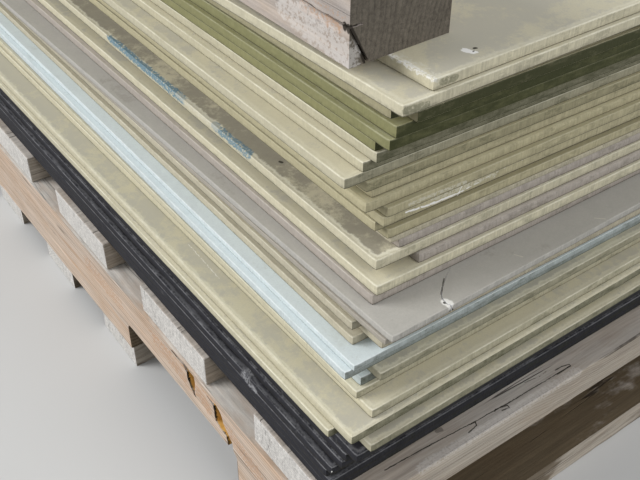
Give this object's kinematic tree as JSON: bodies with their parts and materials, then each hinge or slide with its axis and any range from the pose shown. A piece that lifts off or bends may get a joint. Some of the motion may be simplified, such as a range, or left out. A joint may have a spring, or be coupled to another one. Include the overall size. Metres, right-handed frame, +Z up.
{
  "type": "stack of plastic sheets",
  "caption": "Ragged stack of solid plastic sheets in mixed colours on a notched timber pallet, with a square timber bearer lying on top.",
  "frame": {"origin": "middle of the footprint box, on the floor under the pallet", "axes": "+Z up, +Y along the sheets' long side away from the front, +X along the stringers to the right"},
  "size_m": [1.2806, 2.5604, 0.595],
  "materials": {
    "beige_plastic": "weathered matt",
    "olive_plastic": "weathered matt",
    "green_plastic": "weathered matt",
    "cream_plastic": "matt",
    "mauve_plastic": "matt",
    "grey_plastic": "matt",
    "brown_plastic": "matt",
    "blue_plastic": "satin",
    "black_plastic": "satin",
    "deck_timber": "rough sawn, weathered",
    "stringer_timber": "rough sawn, weathered",
    "bearer_timber": "rough sawn, silvered"
  },
  "bodies": {
    "root": {"bottom_boards": "deck_timber", "deck_board_1": "deck_timber", "deck_board_2": "deck_timber", "deck_board_3": "deck_timber", "deck_board_4": "deck_timber", "deck_board_5": "deck_timber", "deck_board_6": "deck_timber", "sheet_01_beige": "beige_plastic", "sheet_02_beige": "beige_plastic", "sheet_03_olive": "olive_plastic", "sheet_04_olive": "olive_plastic", "sheet_05_green": "green_plastic", "sheet_06_green": "green_plastic", "sheet_07_green": "green_plastic", "sheet_08_beige": "beige_plastic", "sheet_09_beige": "beige_plastic", "sheet_10_beige": "beige_plastic", "sheet_11_olive": "olive_plastic", "sheet_12_olive": "olive_plastic", "sheet_13_olive": "olive_plastic", "sheet_14_olive": "olive_plastic", "sheet_15_olive": "olive_plastic", "sheet_16_olive": "olive_plastic", "sheet_17_olive": "olive_plastic", "sheet_18_cream": "cream_plastic", "sheet_19_mauve": "mauve_plastic", "sheet_20_beige": "beige_plastic", "sheet_21_mauve": "mauve_plastic", "sheet_22_beige": "beige_plastic", "sheet_23_mauve": "mauve_plastic", "sheet_24_grey": "grey_plastic", "sheet_25_brown": "brown_plastic", "sheet_26_cream": "cream_plastic", "sheet_27_cream": "cream_plastic", "sheet_28_cream": "cream_plastic", "sheet_29_cream": "cream_plastic", "sheet_30_blue": "blue_plastic", "sheet_31_blue": "blue_plastic", "sheet_32_beige": "beige_plastic", "sheet_33_blue": "blue_plastic", "sheet_34_beige": "beige_plastic", "sheet_35_beige": "beige_plastic", "sheet_36_beige": "beige_plastic", "sheet_37_beige": "beige_plastic", "sheet_38_beige": "beige_plastic", "sheet_39_black": "black_plastic", "sheet_40_black": "black_plastic", "sheet_41_black": "black_plastic", "sheet_42_black": "black_plastic", "sheet_43_black": "black_plastic", "sheet_44_black": "black_plastic", "sheet_45_black": "black_plastic", "stringer_1": "stringer_timber", "stringer_2": "stringer_timber", "stringer_3": "stringer_timber", "stringer_4": "stringer_timber", "stringer_5": "stringer_timber", "top_bearer": "bearer_timber"}
  },
  "joints": []
}
